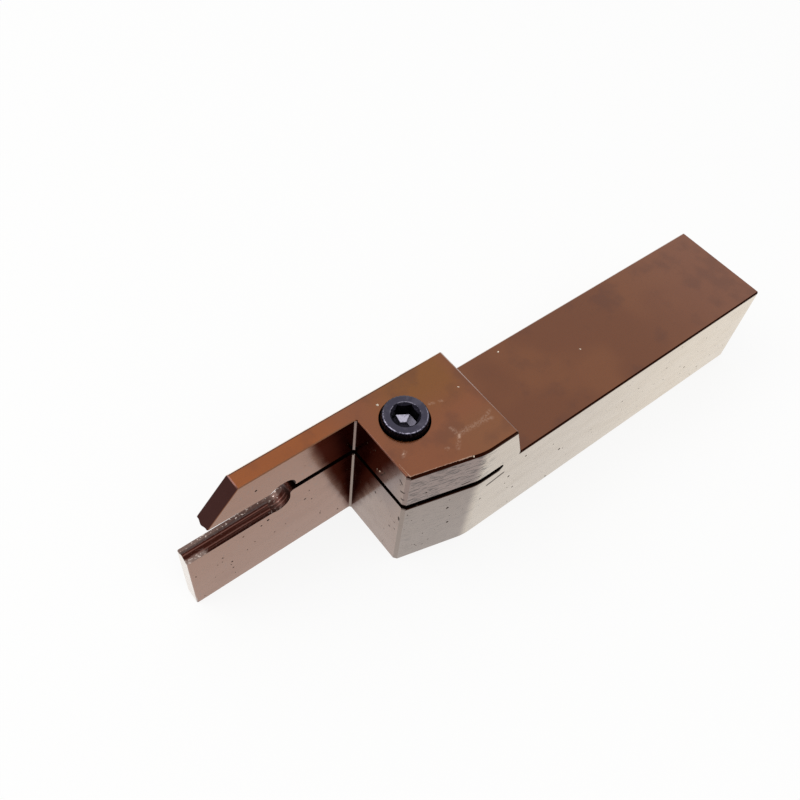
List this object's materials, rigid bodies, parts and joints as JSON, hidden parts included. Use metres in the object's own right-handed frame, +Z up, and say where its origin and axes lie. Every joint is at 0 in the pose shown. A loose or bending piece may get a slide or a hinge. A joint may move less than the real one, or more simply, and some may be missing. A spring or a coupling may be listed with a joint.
{
  "type": "grooving tool holder",
  "caption": "Left-hand lathe grooving tool holder: square shank, raised head, thin blade slit into a clamping jaw with a V-ridged insert pocket, closed by a socket head cap screw.",
  "frame": {"origin": "middle of the bottom of the whole: under the shank's centre line, halfway between the blade's tip and the shank's rear end, at the shank's bottom face", "axes": "+X along the shank from the blade's tip to the rear end, +Y to the side that the blade is flush with, +Z up"},
  "size_m": [0.15, 0.025, 0.0372],
  "materials": {
    "brown_finished_steel": "ground and milled alloy steel under a glossy brown oxide finish",
    "oxide_black_steel": "hardened steel, oxide black with a blue cast, lightly oiled"
  },
  "bodies": {
    "holder": {"holder_body": "brown_finished_steel"},
    "screw": {"clamp_screw": "oxide_black_steel"}
  },
  "joints": [
    {"name": "clamp_screw_turn", "type": "hinge", "parent": "holder", "child": "screw", "pos_m": [-0.027, 0.003, 0.0312], "axis": [0, 0, 1], "range_deg": [0, 4410]}
  ]
}
